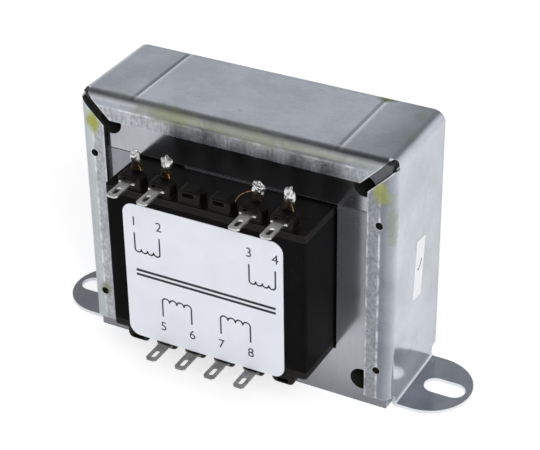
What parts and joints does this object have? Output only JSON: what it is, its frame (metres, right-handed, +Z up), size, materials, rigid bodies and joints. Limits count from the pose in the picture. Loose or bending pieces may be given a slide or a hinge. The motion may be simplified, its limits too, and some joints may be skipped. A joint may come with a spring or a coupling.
{
  "type": "chassis mount transformer",
  "caption": "Mains transformer with a laminated core in a folded steel channel frame, slotted feet, a shrouded coil and rows of solder tags.",
  "frame": {"origin": "midway between the two fixing slots, on the mounting plane under the feet", "axes": "+X along the line of the fixing slots, -Y towards the label and tags, +Z up from the mounting plane"},
  "size_m": [0.118, 0.0671, 0.0718],
  "materials": {
    "zinc_plated_sheet": "bright zinc plate",
    "core_steel": "bare rolled electrical steel",
    "bobbin_moulding": "black moulded plastic",
    "shroud_moulding": "black moulded plastic, slight gloss",
    "label_white": "smooth white film label",
    "sticker_white": "plain white sticker",
    "coil_tape": "yellow polyester tape",
    "enamelled_copper": "enamelled copper wire",
    "solder_bright": "bright solder",
    "tinned_tag": "tinned strip"
  },
  "bodies": {
    "root": {"bobbin": "bobbin_moulding", "channel_frame": "zinc_plated_sheet", "e_laminations": "core_steel", "front_shroud": "shroud_moulding", "i_laminations": "core_steel", "primary_layer_tape": "coil_tape", "primary_lead_1": "enamelled_copper", "primary_lead_2": "enamelled_copper", "primary_lead_3": "enamelled_copper", "primary_lead_4": "enamelled_copper", "primary_outer_tape": "coil_tape", "primary_solder": "solder_bright", "primary_tag_1": "tinned_tag", "primary_tag_2": "tinned_tag", "primary_tag_3": "tinned_tag", "primary_tag_4": "tinned_tag", "primary_winding_1": "enamelled_copper", "primary_winding_2": "enamelled_copper", "rating_label": "label_white", "rear_shroud": "shroud_moulding", "secondary_layer_tape": "coil_tape", "secondary_lead_1": "enamelled_copper", "secondary_lead_2": "enamelled_copper", "secondary_lead_3": "enamelled_copper", "secondary_lead_4": "enamelled_copper", "secondary_outer_tape": "coil_tape", "secondary_solder": "solder_bright", "secondary_tag_1": "tinned_tag", "secondary_tag_2": "tinned_tag", "secondary_tag_3": "tinned_tag", "secondary_tag_4": "tinned_tag", "secondary_winding_1": "enamelled_copper", "secondary_winding_2": "enamelled_copper", "side_sticker": "sticker_white"}
  },
  "joints": []
}
